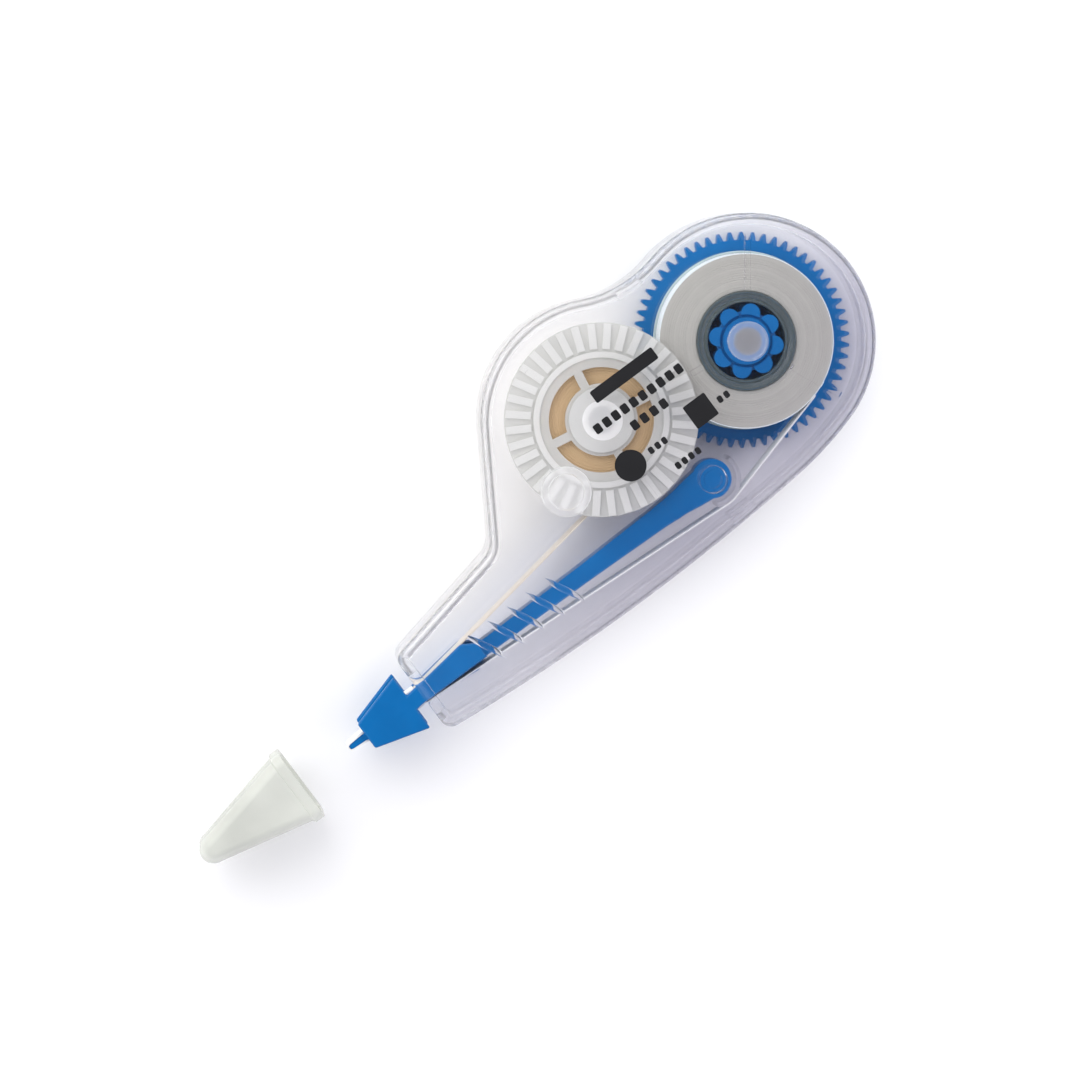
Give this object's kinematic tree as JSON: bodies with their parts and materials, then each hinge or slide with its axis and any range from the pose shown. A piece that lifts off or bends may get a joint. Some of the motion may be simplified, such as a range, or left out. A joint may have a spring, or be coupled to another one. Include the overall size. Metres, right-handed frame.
{
  "type": "correction tape roller",
  "caption": "Hand-held correction tape roller with a clear casing, two geared tape reels, a floating applicator head and a pull-off cap.",
  "frame": {"origin": "on the supply reel's axis, at the flat back face that the roller lies on", "axes": "+Z through the casing from back to front, -X along the applicator towards the nib and the cap, +Y towards the lobe around the take-up reel"},
  "size_m": [0.0961, 0.032, 0.0124],
  "materials": {
    "clear_casing": "clear moulded polystyrene",
    "clear_cap": "frosted clear moulded plastic",
    "clear_core": "clear moulded polystyrene",
    "blue_plastic": "moulded blue acetal, soft gloss",
    "white_plastic": "translucent white moulded plastic",
    "correction_tape": "edge of a wound roll of white film on liner",
    "liner_tape": "tan glassine liner, wound or single",
    "white_film": "dry white correction film",
    "print_ink": "pad-printed black ink"
  },
  "bodies": {
    "casing": {"back_shell": "clear_casing", "front_shell": "clear_casing", "printed_marks": "print_ink"},
    "drive": {"supply_gear": "blue_plastic", "clutch_hub": "blue_plastic"},
    "supply_reel": {"supply_core": "clear_core", "correction_tape_roll": "correction_tape"},
    "takeup_reel": {"takeup_gear": "white_plastic", "takeup_flange": "white_plastic", "used_tape_roll": "liner_tape"},
    "guide": {"guide_roller": "clear_core"},
    "applicator": {"applicator_arm": "blue_plastic", "applicator_head": "blue_plastic", "tip_tape": "white_film", "feed_tape": "white_film", "return_tape": "liner_tape"},
    "cap": {"cap": "clear_cap"}
  },
  "joints": [
    {"name": "supply_spin", "type": "hinge", "parent": "casing", "child": "drive", "pos_m": [0, 0, 0.0022], "axis": [0, 0, 1], "continuous": true},
    {"name": "core_slip", "type": "hinge", "parent": "drive", "child": "supply_reel", "pos_m": [0, 0, 0.006], "axis": [0, 0, 1], "continuous": true},
    {"name": "takeup_spin", "type": "hinge", "parent": "casing", "child": "takeup_reel", "pos_m": [-0.01801, 0.0026, 0.0022], "axis": [0, 0, 1], "continuous": true},
    {"name": "guide_spin", "type": "hinge", "parent": "casing", "child": "guide", "pos_m": [-0.0259, -0.0013, 0.006], "axis": [0, 0, 1], "continuous": true},
    {"name": "head_rock", "type": "hinge", "parent": "casing", "child": "applicator", "pos_m": [-0.01205, -0.01, 0.0061], "axis": [0, 0, 1], "range_deg": [-1.5, 1.5], "stiffness_Nm_per_rad": 0.5, "deforming": ["feed_tape", "return_tape"]},
    {"name": "cap_slide", "type": "slide", "parent": "applicator", "child": "cap", "axis": [1, 0, 0], "range_m": [0, 0.0154]}
  ],
  "couplings": [
    {"joint": "takeup_spin", "follows": "supply_spin", "ratio": -1.7576}
  ]
}
